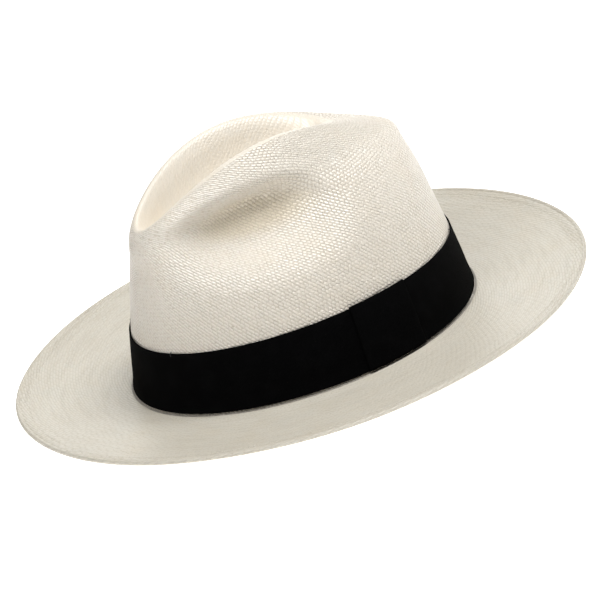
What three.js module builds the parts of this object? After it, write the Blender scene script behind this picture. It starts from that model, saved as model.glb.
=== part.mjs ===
// A panama hat: a woven straw body with a teardrop crease and side pinches in its crown,
// a black grosgrain ribbon with a flat keeper, and a leather sweatband with its reed.
// Millimetres, +Z up. The front of the hat is -Y and the wearer's left is +X.
import * as THREE from 'three';

// ---------------------------------------------------------------- driving dimensions
const BREAK_HALF_LENGTH = 105.5; // outside of the crown at the brim break, front to back
const BREAK_HALF_WIDTH = 84.6;
const EGG = 0.03; // how much wider the oval is behind the ears than before them
const STRAW = 1.2; // thickness of the woven straw
const BRIM_WIDTH = 69.2;
const BRIM_FLAT = 9; // flat ring around the break that the hat rests on
const BRIM_RISE = 10.1; // how far the brim edge stands above that ring
const BRIM_CURVE = 1.4;
const BREAK_RADIUS = 1.4; // bend between crown and brim, on the outside
const HEM_WIDTH = 8.6; // the edge is turned under by this much
const HEM_FOLD = 1.0; // extra thickness of the turned-under layer
const GAP = 0.3; // clearance between neighbouring pieces
const RIBBON = 0.6;
const KEEPER = 0.9;
const KEEPER_WIDTH = 40;
const KEEPER_ANGLE = 97.5; // centre of the keeper, degrees round from the front
const KEEPER_PROUD = 0.9; // how far the keeper passes the ribbon at its top
const LEATHER = 0.9;
const REED_RADIUS = 0.7;
const TAPE = 0.35;
const THREAD_RADIUS = 0.22;

const AROUND = 64; // facets round the hat
const DEGREE = Math.PI / 180;

// The crown's outer surface runs through these rings, from the valley of the crease, over the
// rim, down to the brim break. front and back are the ring's ends in Y, half is its half width,
// narrow draws its back in, and heights are those at the front, the sides and the back.
const CROWN_RINGS = [
  { name: 'valley', front: -68, back: 32, half: 0, narrow: 0, heights: [90, 98, 111] },
  { name: 'wall', front: -73, back: 37, half: 12, narrow: 0, heights: [92.5, 106, 112.5] },
  { name: 'rim_in', front: -77.5, back: 42, half: 20, narrow: 0, heights: [98, 123, 114.6] },
  { name: 'crest', front: -81.5, back: 47, half: 26, narrow: 0, heights: [101, 129, 115.5] },
  { name: 'rim_out', front: -86, back: 62, half: 34, narrow: 0.25, heights: [96.5, 123.5, 112] },
  { name: 'shoulder', front: -87.8, back: 86, half: 44, narrow: 0.35, heights: [90.5, 107.5, 101.2] },
  { name: 'upper', front: -89, back: 89.8, half: 55, narrow: 0.05, heights: [80, 96, 89.5] },
  { name: 'mid', front: -91.6, back: 93.5, half: 65.5, narrow: 0, heights: [67, 79, 74] },
  { name: 'lower', front: -95, back: 96.6, half: 72.5, narrow: 0, heights: [52, 58, 56] },
  { name: 'band_top', front: -98.9, back: 100, half: 78, narrow: 0, heights: [35.8, 39, 37.6] },
  { name: 'band_mid', front: -102.4, back: 103, half: 81.8, narrow: 0, heights: [19, 20.5, 20] },
  { name: 'break', front: -105.5, back: 105.5, half: 84.6, narrow: 0, heights: [2.6, 2.6, 2.6] },
];
const BAND_TOP = 9; // the ring at the ribbon's top edge
const BREAK = 11; // the ring at the brim break
const RING_STEP = 18; // height between neighbouring rings along the ribbon
const BREAK_HEIGHT = STRAW + BREAK_RADIUS;
// Two pinches press the front of the crown in, one on each side. Each is an oval hollow that
// reaches further forward than back, climbs a little towards the back and has a rounded floor.
const PINCH = {
  y: -20,
  z: 92,
  forward: 44,
  backward: 34,
  above: 16,
  below: 19,
  depth: 23,
  climb: 0.02,
  fullness: 3.4,
};
const PINCH_SOFT = 12; // keeps the two pinches apart at the middle of the crown
const PINCH_RINGS = [3, 4.6]; // the pinch fades in between these rings, below the crest

// ---------------------------------------------------------------- the crown's surface
function ringPoint(ring, theta) {
  const c = Math.cos(theta);
  const middle = (ring.front + ring.back) / 2;
  const reach = (ring.back - ring.front) / 2;
  const [front, side, back] = ring.heights;
  const drawnIn = 1 - ring.narrow * ((1 - c) / 2) ** 6;
  return new THREE.Vector3(
    ring.half * Math.sin(theta) * (1 - EGG * c) * drawnIn,
    middle - reach * c,
    side + ((front - back) / 2) * c + ((front + back) / 2 - side) * c * c,
  );
}

function crownProfile(theta) {
  const points = CROWN_RINGS.map((ring) => ringPoint(ring, theta));
  const across = (point) => new THREE.Vector3(-point.x, point.y, point.z);
  const overValley = [across(points[2]), across(points[1]), ...points];
  return new THREE.CatmullRomCurve3(overValley, false, 'catmullrom', 0.5);
}

// How far a point at y and z on the crown's side is pressed in.
function pinchPush(y, z) {
  const middle = PINCH.z + PINCH.climb * (y - PINCH.y);
  const alongY = Math.abs(y - PINCH.y) / (y < PINCH.y ? PINCH.forward : PINCH.backward);
  const alongZ = Math.abs(z - middle) / (z > middle ? PINCH.above : PINCH.below);
  return PINCH.depth * Math.exp(-(Math.hypot(alongY, alongZ) ** PINCH.fullness));
}

// s counts the rings: 0 is the valley of the crease and BREAK is the brim break.
function crownPoint(theta, s) {
  const point = crownProfile(theta).getPoint((s + 2) / (CROWN_RINGS.length + 1));
  const push = THREE.MathUtils.smoothstep(s, ...PINCH_RINGS) * pinchPush(point.y, point.z);
  point.x -= push * Math.tanh(point.x / PINCH_SOFT);
  return point;
}

function crownNormal(theta, s) {
  const step = 0.02;
  const atValleyEnd = s < step && Math.abs(Math.sin(theta)) < step;
  const angle = atValleyEnd ? theta + 5 * step : theta;
  const low = Math.min(s + step, BREAK);
  const along = crownPoint(angle, low).sub(crownPoint(angle, s - step));
  const round = crownPoint(angle + step, s).sub(crownPoint(angle - step, s));
  return along.cross(round).normalize();
}

function crownOffset(theta, s, distance) {
  return crownPoint(theta, s).addScaledVector(crownNormal(theta, s), distance);
}

// ---------------------------------------------------------------- the brim
// A point at a distance out from the oval of the brim break, level with a given height.
function breakPoint(theta, out, z) {
  const c = Math.cos(theta);
  const s = Math.sin(theta);
  const dx = BREAK_HALF_WIDTH * (c * (1 - EGG * c) + EGG * s * s);
  const dy = BREAK_HALF_LENGTH * s;
  const length = Math.hypot(dx, dy);
  const x = BREAK_HALF_WIDTH * s * (1 - EGG * c);
  const y = -BREAK_HALF_LENGTH * c;
  return new THREE.Vector3(x + (dy / length) * out, y - (dx / length) * out, z);
}

function brimTop(out) {
  const t = Math.max(0, (out - BRIM_FLAT) / (BRIM_WIDTH - BRIM_FLAT));
  return STRAW + BRIM_RISE * t ** BRIM_CURVE;
}

function brimUnderside(out) {
  const folded = out > BRIM_WIDTH - HEM_WIDTH ? HEM_FOLD : 0;
  return brimTop(out) - STRAW - folded;
}

// ---------------------------------------------------------------- closed solids
function addQuad(indices, a, b, c, d) {
  indices.push(a, b, c, a, c, d);
}

function signedVolume(positions, indices) {
  const [a, b, c] = [new THREE.Vector3(), new THREE.Vector3(), new THREE.Vector3()];
  let volume = 0;
  for (let i = 0; i < indices.length; i += 3) {
    a.fromArray(positions, 3 * indices[i]);
    b.fromArray(positions, 3 * indices[i + 1]);
    c.fromArray(positions, 3 * indices[i + 2]);
    volume += a.dot(b.cross(c)) / 6;
  }
  return volume;
}

function closedGeometry(points, indices) {
  const positions = points.flatMap((point) => point.toArray());
  if (signedVolume(positions, indices) < 0) {
    indices.reverse();
  }
  const geometry = new THREE.BufferGeometry();
  geometry.setAttribute('position', new THREE.Float32BufferAttribute(positions, 3));
  geometry.setIndex(indices);
  geometry.computeVertexNormals();
  return geometry;
}

// Two sheets of the same rows and columns, closed along their edges into one solid.
// A wrapped sheet goes all the way round; a pointed one closes on itself at its first row.
function sheetSolid(outer, inner, { wrap = true, pointed = false } = {}) {
  const rows = outer.length;
  const columns = outer[0].length;
  const o = (row, column) => row * columns + (column % columns);
  const i = (row, column) => rows * columns + o(row, column);
  const indices = [];
  const last = rows - 1;
  for (let c = 0; c < (wrap ? columns : columns - 1); c += 1) {
    for (let r = 0; r < last; r += 1) {
      addQuad(indices, o(r, c), o(r + 1, c), o(r + 1, c + 1), o(r, c + 1));
      addQuad(indices, i(r, c + 1), i(r + 1, c + 1), i(r + 1, c), i(r, c));
    }
    addQuad(indices, o(last, c), i(last, c), i(last, c + 1), o(last, c + 1));
    if (!pointed) {
      addQuad(indices, o(0, c + 1), i(0, c + 1), i(0, c), o(0, c));
    }
  }
  if (!wrap) {
    const end = columns - 1;
    for (let r = 0; r < last; r += 1) {
      addQuad(indices, i(r, 0), i(r + 1, 0), o(r + 1, 0), o(r, 0));
      addQuad(indices, o(r, end), o(r + 1, end), i(r + 1, end), i(r, end));
    }
  }
  return closedGeometry([...outer.flat(), ...inner.flat()], indices);
}

// A closed cross-section, given as a function of the angle, carried all the way round the hat.
function ringSolid(sectionAt) {
  const sections = angles().map(sectionAt);
  const count = sections[0].length;
  const indices = [];
  for (let a = 0; a < AROUND; a += 1) {
    const here = a * count;
    const next = ((a + 1) % AROUND) * count;
    for (let k = 0; k < count; k += 1) {
      const l = (k + 1) % count;
      addQuad(indices, here + k, here + l, next + l, next + k);
    }
  }
  return closedGeometry(sections.flat(), indices);
}

function angles(from = 0, to = 360, count = AROUND) {
  const whole = to - from === 360;
  const steps = whole ? count : count - 1;
  return Array.from({ length: count }, (_, k) => (from + ((to - from) * k) / steps) * DEGREE);
}

function spaced(from, to, count) {
  return Array.from({ length: count }, (_, k) => THREE.MathUtils.lerp(from, to, k / (count - 1)));
}

function sheet(rows, thetas, pointAt) {
  return rows.map((row) => thetas.map((theta) => pointAt(theta, row)));
}

// ---------------------------------------------------------------- straw body
function strawBody() {
  const thetas = angles();
  const crownRows = [...spaced(0, 1, 2), ...spaced(1.5, 8, 14), 9, 10];
  const outer = sheet(crownRows, thetas, crownPoint);
  const inner = sheet(crownRows, thetas, (theta, s) => crownOffset(theta, s, -STRAW));
  for (const turn of spaced(0, Math.PI / 2, 3)) {
    const bend = (theta, radius) => {
      const out = BREAK_RADIUS - radius * Math.cos(turn);
      return breakPoint(theta, out, BREAK_HEIGHT - radius * Math.sin(turn));
    };
    outer.push(thetas.map((theta) => bend(theta, BREAK_RADIUS)));
    inner.push(thetas.map((theta) => bend(theta, BREAK_RADIUS + STRAW)));
  }
  const fold = BRIM_WIDTH - HEM_WIDTH;
  const brimRows = [BRIM_FLAT, 25, 42, fold - 0.6, fold + 0.1, BRIM_WIDTH - 3, BRIM_WIDTH];
  for (const out of brimRows) {
    outer.push(thetas.map((theta) => breakPoint(theta, out, brimTop(out))));
    inner.push(thetas.map((theta) => breakPoint(theta, out, brimUnderside(out))));
  }
  return sheetSolid(outer, inner, { pointed: true });
}

// ---------------------------------------------------------------- hem seam
function threadRing({ out, z }) {
  return ringSolid((theta) =>
    [0, 90, 180, 270].map((turn) => {
      const across = THREAD_RADIUS * Math.cos(turn * DEGREE);
      const up = THREAD_RADIUS * Math.sin(turn * DEGREE);
      return breakPoint(theta, out + across, z + up);
    }),
  );
}

const SEAM_INSET = 1.4; // the seam lies this far inside the fold's raw edge
const HEM_SEAM = BRIM_WIDTH - HEM_WIDTH + SEAM_INSET;
const THREAD_LIFT = GAP + THREAD_RADIUS;

function hemNeedleThread() {
  return threadRing({ out: HEM_SEAM, z: brimTop(HEM_SEAM) + THREAD_LIFT });
}

function hemBobbinThread() {
  return threadRing({ out: HEM_SEAM, z: brimUnderside(HEM_SEAM) - THREAD_LIFT });
}

// ---------------------------------------------------------------- ribbon and keeper
// The ribbon's two ends meet under the keeper.
const RIBBON_JOIN = 0.3; // half the opening between the ribbon's ends, in degrees

function hatbandRibbon() {
  const thetas = angles(KEEPER_ANGLE + RIBBON_JOIN, KEEPER_ANGLE + 360 - RIBBON_JOIN, AROUND + 1);
  const rows = spaced(BAND_TOP, BREAK, 5);
  const outer = sheet(rows, thetas, (theta, s) => crownOffset(theta, s, GAP + RIBBON));
  const inner = sheet(rows, thetas, (theta, s) => crownOffset(theta, s, GAP));
  return sheetSolid(outer, inner, { wrap: false });
}

function bowKeeper() {
  const half = KEEPER_WIDTH / 2 / BREAK_HALF_LENGTH / DEGREE;
  const thetas = angles(KEEPER_ANGLE - half, KEEPER_ANGLE + half, 9);
  const rows = spaced(BAND_TOP - KEEPER_PROUD / RING_STEP, BREAK, 6);
  const lift = 2 * GAP + RIBBON;
  const outer = sheet(rows, thetas, (theta, s) => crownOffset(theta, s, lift + KEEPER));
  const inner = sheet(rows, thetas, (theta, s) => crownOffset(theta, s, lift));
  return sheetSolid(outer, inner, { wrap: false });
}

// A stitch that passes over the ribbon's top edge and holds it to the straw.
const TACK_ANGLES = [20, 150, 205, 270, 330];

function ribbonTack(degrees) {
  const theta = degrees * DEGREE;
  const at = (above, lift) => crownOffset(theta, BAND_TOP - above / RING_STEP, lift);
  const clear = GAP + THREAD_RADIUS;
  const over = 2 * GAP + RIBBON + THREAD_RADIUS;
  const path = new THREE.CatmullRomCurve3([
    at(1.8, clear),
    at(0.9, clear + 0.35),
    at(0.2, over + 0.1),
    at(-1.6, over),
  ]);
  return tube(path, 8);
}

function tube(path, steps) {
  const section = new THREE.Shape().absarc(0, 0, THREAD_RADIUS, 0, 2 * Math.PI, false);
  return new THREE.ExtrudeGeometry(section, {
    steps,
    curveSegments: 3,
    bevelEnabled: false,
    extrudePath: path,
  });
}

// ---------------------------------------------------------------- sweatband
const SWEAT_TOP = 9.2;
const SWEAT_BOTTOM = 10.97;
const BACK = 180;
const BACK_JOIN = 0.5; // half the opening between the leather's ends, in degrees
const TAPE_SLACK = 0.15; // the tape's outer flange lies this much closer to the straw
const LEATHER_LIFT = STRAW + 2 * GAP + TAPE + TAPE_SLACK;

function sweatband() {
  const thetas = angles(BACK + BACK_JOIN, BACK + 360 - BACK_JOIN, AROUND + 1);
  const rows = spaced(SWEAT_TOP, SWEAT_BOTTOM, 4);
  const outer = sheet(rows, thetas, (theta, s) => crownOffset(theta, s, -LEATHER_LIFT));
  const inner = sheet(rows, thetas, (theta, s) => crownOffset(theta, s, -LEATHER_LIFT - LEATHER));
  return sheetSolid(outer, inner, { wrap: false });
}

// The reed stiffens the sweatband's lower edge. Its tape is folded up round it, and its two
// flanges hold the foot of the leather between them.
const REED_OUT = -2.75;
const REED_HEIGHT = 1.75;
const WALL_LEAN = 0.19; // the crown's wall leans in by this much for each unit of height
const OUTER_FLANGE_TOP = 6.5;
const INNER_FLANGE_TOP = 5;
const STITCH_HEIGHT = 3.8;

function sweatbandReed() {
  return ringSolid((theta) =>
    [0, 60, 120, 180, 240, 300].map((turn) => {
      const out = REED_OUT + REED_RADIUS * Math.cos(turn * DEGREE);
      return breakPoint(theta, out, REED_HEIGHT + REED_RADIUS * Math.sin(turn * DEGREE));
    }),
  );
}

function reedTape() {
  const insideRadius = REED_RADIUS + GAP;
  const outsideRadius = insideRadius + TAPE;
  const flange = (out, height) => [out - WALL_LEAN * (height - REED_HEIGHT), height];
  const hoop = (radius, turns) =>
    turns.map((turn) => [
      REED_OUT + radius * Math.cos(turn * DEGREE),
      REED_HEIGHT - radius * Math.sin(turn * DEGREE),
    ]);
  const section = [
    flange(REED_OUT + outsideRadius - TAPE_SLACK, OUTER_FLANGE_TOP),
    ...hoop(outsideRadius, [0, 60, 120, 180]),
    flange(REED_OUT - outsideRadius, INNER_FLANGE_TOP),
    flange(REED_OUT - insideRadius, INNER_FLANGE_TOP),
    ...hoop(insideRadius, [180, 120, 60, 0]),
    flange(REED_OUT + insideRadius - TAPE_SLACK, OUTER_FLANGE_TOP),
  ];
  return ringSolid((theta) => section.map(([out, z]) => breakPoint(theta, out, z)));
}

function sweatbandStitching() {
  const lean = WALL_LEAN * (STITCH_HEIGHT - REED_HEIGHT);
  const face = REED_OUT - REED_RADIUS - GAP - TAPE - lean;
  return threadRing({ out: face - GAP - THREAD_RADIUS, z: STITCH_HEIGHT });
}

const LEATHER_FACE = LEATHER_LIFT + LEATHER;

// One thread zigzags up the back and draws the leather's two ends together.
function sweatbandSeamLacing() {
  const crossings = 7;
  const halfWidth = 1.6; // degrees either side of the join
  const [lowest, highest] = [9.95, 9.3]; // ring counts at the ends of the lacing
  const points = spaced(lowest, highest, crossings).map((s, k) => {
    const side = k % 2 === 0 ? -halfWidth : halfWidth;
    return crownOffset((BACK + side) * DEGREE, s, -LEATHER_FACE - GAP - THREAD_RADIUS);
  });
  return tube(new THREE.CatmullRomCurve3(points, false, 'catmullrom', 0.1), 4 * crossings);
}

// A small flat bow marks the back of the sweatband.
const BOW_THICKNESS = 1.2;
const BOW_RING = 10.35; // ring count at the bow's middle
const BOW_REACH = 8.5; // degrees either side of the middle
const KNOT_REACH = 1.5;
const KNOT_HALF_HEIGHT = 0.12; // in ring counts
const KNOT_THICKNESS = 0.9;

function sweatbandBowRibbon() {
  const thetas = angles(BACK - BOW_REACH, BACK + BOW_REACH, 13);
  const halfHeight = (theta) => {
    const outward = Math.abs(theta / DEGREE - BACK) / BOW_REACH;
    return 0.07 + 0.16 * Math.sin(0.9 * Math.PI * outward) ** 0.8;
  };
  const rows = spaced(-1, 1, 3);
  const layer = (lift) =>
    sheet(rows, thetas, (theta, v) => crownOffset(theta, BOW_RING + v * halfHeight(theta), -lift));
  const near = LEATHER_FACE + GAP;
  return sheetSolid(layer(near), layer(near + BOW_THICKNESS), { wrap: false });
}

function sweatbandBowKnot() {
  const thetas = angles(BACK - KNOT_REACH, BACK + KNOT_REACH, 4);
  const rows = spaced(BOW_RING - KNOT_HALF_HEIGHT, BOW_RING + KNOT_HALF_HEIGHT, 3);
  const near = LEATHER_FACE + 2 * GAP + BOW_THICKNESS;
  const layer = (lift) => sheet(rows, thetas, (theta, s) => crownOffset(theta, s, -lift));
  return sheetSolid(layer(near), layer(near + KNOT_THICKNESS), { wrap: false });
}

// ---------------------------------------------------------------- assembly
const straw = () => new THREE.MeshStandardMaterial({ color: 0xe9e1d0, roughness: 0.62, metalness: 0 });
const black = () => new THREE.MeshStandardMaterial({ color: 0x0b0b0c, roughness: 0.8, metalness: 0 });
const cream = () => new THREE.MeshStandardMaterial({ color: 0xe2d8c0, roughness: 0.7, metalness: 0 });
const tan = () => new THREE.MeshStandardMaterial({ color: 0x9c6b43, roughness: 0.5, metalness: 0 });
const tape = () => new THREE.MeshStandardMaterial({ color: 0x6f5238, roughness: 0.7, metalness: 0 });
const plastic = () => new THREE.MeshStandardMaterial({ color: 0xd9d6cc, roughness: 0.4, metalness: 0 });

const hat = new THREE.Group();

function add(name, geometry, material) {
  const mesh = new THREE.Mesh(geometry, material);
  mesh.name = name;
  hat.add(mesh);
}

add('straw_body', strawBody(), straw());
add('hem_needle_thread', hemNeedleThread(), cream());
add('hem_bobbin_thread', hemBobbinThread(), cream());
add('hatband_ribbon', hatbandRibbon(), black());
add('bow_keeper', bowKeeper(), black());
TACK_ANGLES.forEach((degrees, k) => add(`ribbon_tack_${k + 1}`, ribbonTack(degrees), black()));
add('sweatband', sweatband(), tan());
add('sweatband_reed', sweatbandReed(), plastic());
add('reed_tape', reedTape(), tape());
add('sweatband_stitching', sweatbandStitching(), cream());
add('sweatband_seam_lacing', sweatbandSeamLacing(), cream());
add('sweatband_bow_ribbon', sweatbandBowRibbon(), black());
add('sweatband_bow_knot', sweatbandBowKnot(), black());

export default hat;
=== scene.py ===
# A panama hat: woven straw, a black grosgrain ribbon with a flat keeper, and a leather sweatband.
# The CAD frame gives the sizes; this script dresses it. Formulas are in millimetres and meshes
# in metres. +Z is up, the front of the hat is -Y and the wearer's left is +X.
import math

import bmesh
import bpy
import numpy as np
from mathutils import Matrix, Vector


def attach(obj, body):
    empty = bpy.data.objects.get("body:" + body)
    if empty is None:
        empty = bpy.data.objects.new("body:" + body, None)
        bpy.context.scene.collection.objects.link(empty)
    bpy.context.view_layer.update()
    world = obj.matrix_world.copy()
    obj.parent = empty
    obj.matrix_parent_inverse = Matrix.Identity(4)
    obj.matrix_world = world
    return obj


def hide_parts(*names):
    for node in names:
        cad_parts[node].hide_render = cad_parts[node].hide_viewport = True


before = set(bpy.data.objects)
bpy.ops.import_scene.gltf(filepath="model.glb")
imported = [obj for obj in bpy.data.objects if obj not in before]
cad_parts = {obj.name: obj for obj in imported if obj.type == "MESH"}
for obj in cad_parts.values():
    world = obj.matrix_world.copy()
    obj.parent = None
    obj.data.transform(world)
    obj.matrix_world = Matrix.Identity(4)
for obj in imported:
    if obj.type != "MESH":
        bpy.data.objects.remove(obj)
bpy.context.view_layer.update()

MM = 0.001
UV_NAME = "weave"
BODY = "root"

# ------------------------ the hat's driving dimensions
BREAK_HALF_LENGTH = 105.5
BREAK_HALF_WIDTH = 84.6
EGG = 0.03
STRAW = 1.2
BRIM_WIDTH = 69.2
BRIM_FLAT = 9.0
BRIM_RISE = 10.1
BRIM_CURVE = 1.4
BREAK_RADIUS = 1.4
BREAK_HEIGHT = STRAW + BREAK_RADIUS
HEM_WIDTH = 8.6
HEM_FOLD = 1.0
HEM_SEAM = BRIM_WIDTH - HEM_WIDTH + 1.4
GAP = 0.3
RIBBON = 0.6
KEEPER = 0.9
KEEPER_WIDTH = 40.0
KEEPER_ANGLE = 97.5
KEEPER_PROUD = 0.9
LEATHER = 0.9
TAPE = 0.35
BAND_TOP = 9.0
BREAK = 11.0
RING_STEP = 18.0

# front, back, half width, narrowing at the back, heights at the front, the sides and the back
CROWN_RINGS = [
    (-68, 32, 0, 0, (90, 98, 111)),
    (-73, 37, 12, 0, (92.5, 106, 112.5)),
    (-77.5, 42, 20, 0, (98, 123, 114.6)),
    (-81.5, 47, 26, 0, (101, 129, 115.5)),
    (-86, 62, 34, 0.25, (96.5, 123.5, 112)),
    (-87.8, 86, 44, 0.35, (90.5, 107.5, 101.2)),
    (-89, 89.8, 55, 0.05, (80, 96, 89.5)),
    (-91.6, 93.5, 65.5, 0, (67, 79, 74)),
    (-95, 96.6, 72.5, 0, (52, 58, 56)),
    (-98.9, 100, 78, 0, (35.8, 39, 37.6)),
    (-102.4, 103, 81.8, 0, (19, 20.5, 20)),
    (-105.5, 105.5, 84.6, 0, (2.6, 2.6, 2.6)),
]
PINCH_Y, PINCH_Z = -20.0, 92.0
PINCH_FORWARD, PINCH_BACKWARD = 44.0, 34.0
PINCH_ABOVE, PINCH_BELOW = 16.0, 19.0
PINCH_DEPTH, PINCH_CLIMB, PINCH_FULLNESS = 23.0, 0.02, 3.4
PINCH_SOFT = 12.0
PINCH_FROM, PINCH_TO = 3.0, 4.6


# ------------------------ surfaces
def smoothstep(x, low, high):
    t = np.clip((x - low) / (high - low), 0, 1)
    return t * t * (3 - 2 * t)


def unit(vectors):
    return vectors / np.maximum(np.linalg.norm(vectors, axis=-1, keepdims=True), 1e-12)


def ring_point(ring, theta):
    front, back, half, narrow, (z_front, z_side, z_back) = ring
    c = np.cos(theta)
    drawn_in = 1 - narrow * ((1 - c) / 2) ** 6
    x = half * np.sin(theta) * (1 - EGG * c) * drawn_in
    y = (front + back) / 2 - (back - front) / 2 * c
    z = z_side + (z_front - z_back) / 2 * c + ((z_front + z_back) / 2 - z_side) * c * c
    return np.stack([x, y, z], axis=-1)


def pinch_push(y, z):
    """How far a point on the crown's side is pressed in."""
    middle = PINCH_Z + PINCH_CLIMB * (y - PINCH_Y)
    along_y = np.abs(y - PINCH_Y) / np.where(y < PINCH_Y, PINCH_FORWARD, PINCH_BACKWARD)
    along_z = np.abs(z - middle) / np.where(z > middle, PINCH_ABOVE, PINCH_BELOW)
    return PINCH_DEPTH * np.exp(-(np.hypot(along_y, along_z) ** PINCH_FULLNESS))


def crown_point(theta, s):
    """The outside of the crown at an angle from the front and a ring count, 0 at the crease."""
    theta, s = np.broadcast_arrays(np.asarray(theta, float), np.asarray(s, float))
    rings = [ring_point(ring, theta) for ring in CROWN_RINGS]
    across = np.array([-1.0, 1.0, 1.0])
    beyond = 2 * rings[-1] - rings[-2]
    knots = np.stack([rings[2] * across, rings[1] * across, *rings, beyond])
    span = np.clip(np.floor(s), -1, len(CROWN_RINGS) - 2).astype(int)
    t = (s - span)[..., None]

    def knot(step):
        return np.take_along_axis(knots, (span + 2 + step)[None, ..., None], axis=0)[0]

    a, b, c, d = (knot(step) for step in (-1, 0, 1, 2))
    curve = 2 * b + (c - a) * t
    curve = curve + (2 * a - 5 * b + 4 * c - d) * t**2
    curve = curve + (3 * b - a - 3 * c + d) * t**3
    point = curve / 2
    push = pinch_push(point[..., 1], point[..., 2]) * smoothstep(s, PINCH_FROM, PINCH_TO)
    point[..., 0] -= push * np.tanh(point[..., 0] / PINCH_SOFT)
    return point


def crown_normal(theta, s):
    step = 0.02
    theta, s = np.broadcast_arrays(np.asarray(theta, float), np.asarray(s, float))
    at_valley_end = (s < step) & (np.abs(np.sin(theta)) < step)
    angle = np.where(at_valley_end, theta + 5 * step, theta)
    low = np.minimum(s + step, BREAK)
    along = crown_point(angle, low) - crown_point(angle, s - step)
    round_ = crown_point(angle + step, s) - crown_point(angle - step, s)
    return unit(np.cross(along, round_))


def crown_offset(theta, s, distance):
    point = crown_point(theta, s)
    distance = np.broadcast_to(distance, point.shape[:-1])[..., None]
    return point + crown_normal(theta, s) * distance


def break_point(theta, out, z):
    """A point at a distance out from the oval of the brim break."""
    theta, out, z = np.broadcast_arrays(*(np.asarray(v, float) for v in (theta, out, z)))
    c = np.cos(theta)
    s = np.sin(theta)
    dx = BREAK_HALF_WIDTH * (c * (1 - EGG * c) + EGG * s * s)
    dy = BREAK_HALF_LENGTH * s
    length = np.hypot(dx, dy)
    x = BREAK_HALF_WIDTH * s * (1 - EGG * c) + dy / length * out
    y = -BREAK_HALF_LENGTH * c - dx / length * out
    return np.stack([x, y, z], axis=-1)


def brim_top(out):
    t = np.maximum(0, (out - BRIM_FLAT) / (BRIM_WIDTH - BRIM_FLAT))
    return STRAW + BRIM_RISE * t**BRIM_CURVE


def round_angles(count, start=0.0, end=360.0):
    """Angles from start to end; a whole turn leaves its last angle out."""
    whole = abs(end - start - 360) < 1e-9
    return np.radians(np.linspace(start, end, count, endpoint=not whole))


# ------------------------ meshes
def grid_faces(rows, columns, wrap_rows, wrap_columns):
    """The quads of a grid, as corner rows and corner columns that may run one past the end."""
    r = np.arange(rows if wrap_rows else rows - 1)
    c = np.arange(columns if wrap_columns else columns - 1)
    r, c = (a.ravel() for a in np.meshgrid(r, c, indexing="ij"))
    corner_rows = np.stack([r, r + 1, r + 1, r], axis=1)
    corner_columns = np.stack([c, c, c + 1, c + 1], axis=1)
    return corner_rows, corner_columns


def build_mesh(name, points, faces, corner_uvs, face_slots=None):
    """points in millimetres; faces a list of corner lists; corner_uvs one row per corner."""
    mesh = bpy.data.meshes.new(name)
    mesh.from_pydata((points * MM).tolist(), [], faces)
    layer = mesh.uv_layers.new(name=UV_NAME)
    layer.data.foreach_set("uv", np.asarray(corner_uvs, np.float32).ravel())
    mesh.polygons.foreach_set("use_smooth", np.ones(len(mesh.polygons), bool))
    if face_slots is not None:
        mesh.polygons.foreach_set("material_index", np.asarray(face_slots, np.int32))
    mesh.update()
    return mesh


def signed_volume(points, quads):
    a, b, c, d = (points[quads[:, k]] for k in range(4))
    return (a * np.cross(b, c)).sum() + (a * np.cross(c, d)).sum()


def swept(name, grid, u, v, wrap_rows=True, wrap_columns=True, row_slots=None):
    """A mesh over a grid of points (rows round the section, columns along the sweep).

    u has a value for each column, or gives the values at some corners' rows and columns.
    v has a value for each row, or for each row and column.
    An open sweep of a closed section gets a cap at each end.
    """
    rows, columns = grid.shape[:2]
    points = grid.reshape(-1, 3)
    corner_rows, corner_columns = grid_faces(rows, columns, wrap_rows, wrap_columns)
    quads = (corner_rows % rows) * columns + corner_columns % columns
    v = np.asarray(v, float)
    if v.ndim == 1:
        v = np.repeat(v[:, None], columns, axis=1)
    uv_u = u(corner_rows, corner_columns) if callable(u) else np.asarray(u)[corner_columns]
    uv_v = v[corner_rows, corner_columns % columns]
    uvs = np.stack([uv_u, uv_v], axis=-1)
    flip = signed_volume(points, quads) < 0
    if flip:
        quads = quads[:, ::-1]
        uvs = uvs[:, ::-1]
    faces = quads.tolist()
    uvs = uvs.reshape(-1, 2)
    if wrap_rows and not wrap_columns:
        loop = np.arange(rows)
        for column, reverse in ((0, flip), (columns - 1, not flip)):
            order = loop[::-1] if not reverse else loop
            faces.append((order * columns + column).tolist())
            cap = np.stack([np.full(rows, u[column]), v[order, column]], axis=-1)
            uvs = np.concatenate([uvs, cap])
    slots = None
    if row_slots is not None:
        slots = np.asarray(row_slots)[corner_rows[:, 0]]
    return build_mesh(name, points, faces, uvs, slots)


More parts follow.
